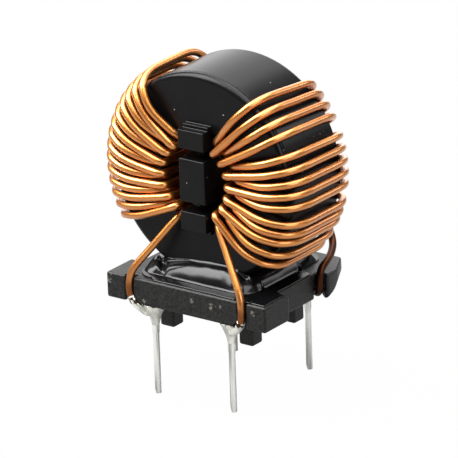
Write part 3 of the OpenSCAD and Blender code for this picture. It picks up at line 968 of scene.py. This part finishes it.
def beadPiece():
    rows, half = beadRows(), bead["halfColumns"]
    columns = [math.sin(math.pi / 2 * (i / half - 1)) for i in range(2 * half + 1)]
    points = [beadPoint(u, y) for y in rows for u in columns]
    tall, wide, top = len(rows), len(columns), len(points)
    starts = [i * wide + j for i in range(tall - 1) for j in range(wide - 1)]
    faces = [(a, a + 1, a + wide + 1, a + wide) for a in starts]
    points += [(x, y, baseTop + bead["underLift"]) for x, y, z in points]
    faces += [tuple(v + top for v in reversed(f)) for f in faces]
    loop = list(range(wide)) + [i * wide + wide - 1 for i in range(1, tall)]
    loop += [top - 1 - j for j in range(1, wide)] + [i * wide for i in range(tall - 2, 0, -1)]
    faces += [(a, a + top, b + top, b) for a, b in zip(loop, loop[1:] + loop[:1])]
    piece = meshPiece("epoxyFillet", points, faces)
    piece.data.shade_smooth()
    return outward(piece)


place(beadPiece(), "epoxy", "adhesive_bead")
print("adhesive made")


# floor, light and camera

studio = {
    "floor": (0.23, 0.23, 0.23, 1), "floorHalf": 1500.0, "floorDrop": 0.01,
    "cameraWhite": 0.985, "glossyFloor": 0.08, "white": (1, 1, 1, 1), "world": 0.07, "glossySky": 0.18,
    "aim": (0, 0, 0.015),
}


def floorPiece():
    z, half = cadLow.z / mm - studio["floorDrop"], studio["floorHalf"]
    square = [(-half, -half, z), (half, -half, z), (half, half, z), (-half, half, z)]
    piece = meshPiece("floor", square, [(0, 1, 2, 3)])
    material = bpy.data.materials.new("paleFloor")
    material.use_nodes = True
    tree = material.node_tree
    tree.nodes.clear()
    out, mix, path = newNode(tree, "OutputMaterial"), newNode(tree, "MixShader"), newNode(tree, "LightPath")
    matte = newNode(tree, "BsdfDiffuse", Color=studio["floor"])
    white = newNode(tree, "Emission", Color=studio["white"], Strength=1.0)
    seen = math2(tree, "MULTIPLY", path.outputs["Is Camera Ray"], studio["cameraWhite"])
    mirrored = math2(tree, "MULTIPLY", path.outputs["Is Glossy Ray"], studio["glossyFloor"])
    tree.links.new(math2(tree, "MAXIMUM", seen, mirrored), mix.inputs[0])
    tree.links.new(matte.outputs[0], mix.inputs[1])
    tree.links.new(white.outputs[0], mix.inputs[2])
    tree.links.new(mix.outputs[0], out.inputs["Surface"])
    piece.data.materials.append(material)


lamps = {
    "keyBox": {"at": (-0.31, -0.21, 0.42), "size": 0.40, "power": 7.5},
    "topBox": {"at": (0.02, 0.04, 0.52), "size": 0.66, "power": 9.0},
    "backBox": {"at": (-0.30, 0.46, 0.22), "size": 0.50, "power": 1.65},
    "edgeStrip": {"at": (0.30, 0.46, 0.27), "size": 0.20, "power": 0.5},
    "rightFill": {"at": (0.45, -0.12, 0.22), "size": 0.30, "power": 1.1},
}


def makeLamp(name, at, size, power):
    light = bpy.data.lights.new(name, "AREA")
    light.shape = "SQUARE"
    light.size = size
    light.energy = power
    lamp = bpy.data.objects.new(name, light)
    lamp.location = at
    lamp.rotation_euler = (Vector(studio["aim"]) - Vector(at)).to_track_quat("-Z", "Y").to_euler()
    scene.collection.objects.link(lamp)


def makeWorld():
    # white to the camera, darker in reflections and darkest as light
    world = bpy.data.worlds.new("studio")
    world.use_nodes = True
    tree = world.node_tree
    path = newNode(tree, "LightPath")
    level = math2(tree, "MULTIPLY", path.outputs["Is Glossy Ray"], studio["glossySky"])
    level = math2(tree, "MAXIMUM", level, path.outputs["Is Camera Ray"])
    sky = tree.nodes["Background"]
    sky.inputs["Color"].default_value = studio["white"]
    tree.links.new(math2(tree, "MAXIMUM", level, studio["world"]), sky.inputs["Strength"])
    scene.world = world


# the photo's own view: focal length and width in its pixels, distance and target in metres
view = {
    "azimuth": 36.58, "elevation": 20.655, "roll": -1.905, "distance": 0.6029,
    "focal": 4526.2, "photoWidth": 458, "sensor": 36.0, "target": (-0.000061, 0, 0.013295),
}


def makeCamera():
    az, el, ro = (math.radians(view[k]) for k in ("azimuth", "elevation", "roll"))
    right = Vector((math.cos(az), math.sin(az), 0))
    back = Vector((math.sin(az) * math.cos(el), -math.cos(az) * math.cos(el), math.sin(el)))
    up = right.cross(-back)
    turnedRight = right * math.cos(ro) + up * math.sin(ro)
    turnedUp = up * math.cos(ro) - right * math.sin(ro)
    data = bpy.data.cameras.new("photoView")
    data.sensor_width = view["sensor"]
    data.lens = view["focal"] / view["photoWidth"] * view["sensor"]
    camera = bpy.data.objects.new("photoView", data)
    turn = Matrix((turnedRight, turnedUp, back)).transposed().to_4x4()
    camera.matrix_world = Matrix.Translation(Vector(view["target"]) + back * view["distance"]) @ turn
    scene.collection.objects.link(camera)
    scene.camera = camera


floorPiece()
for label, look in lamps.items():
    makeLamp(label, **look)
makeWorld()
makeCamera()
scene.view_settings.view_transform = "Standard"
print("studio set up")
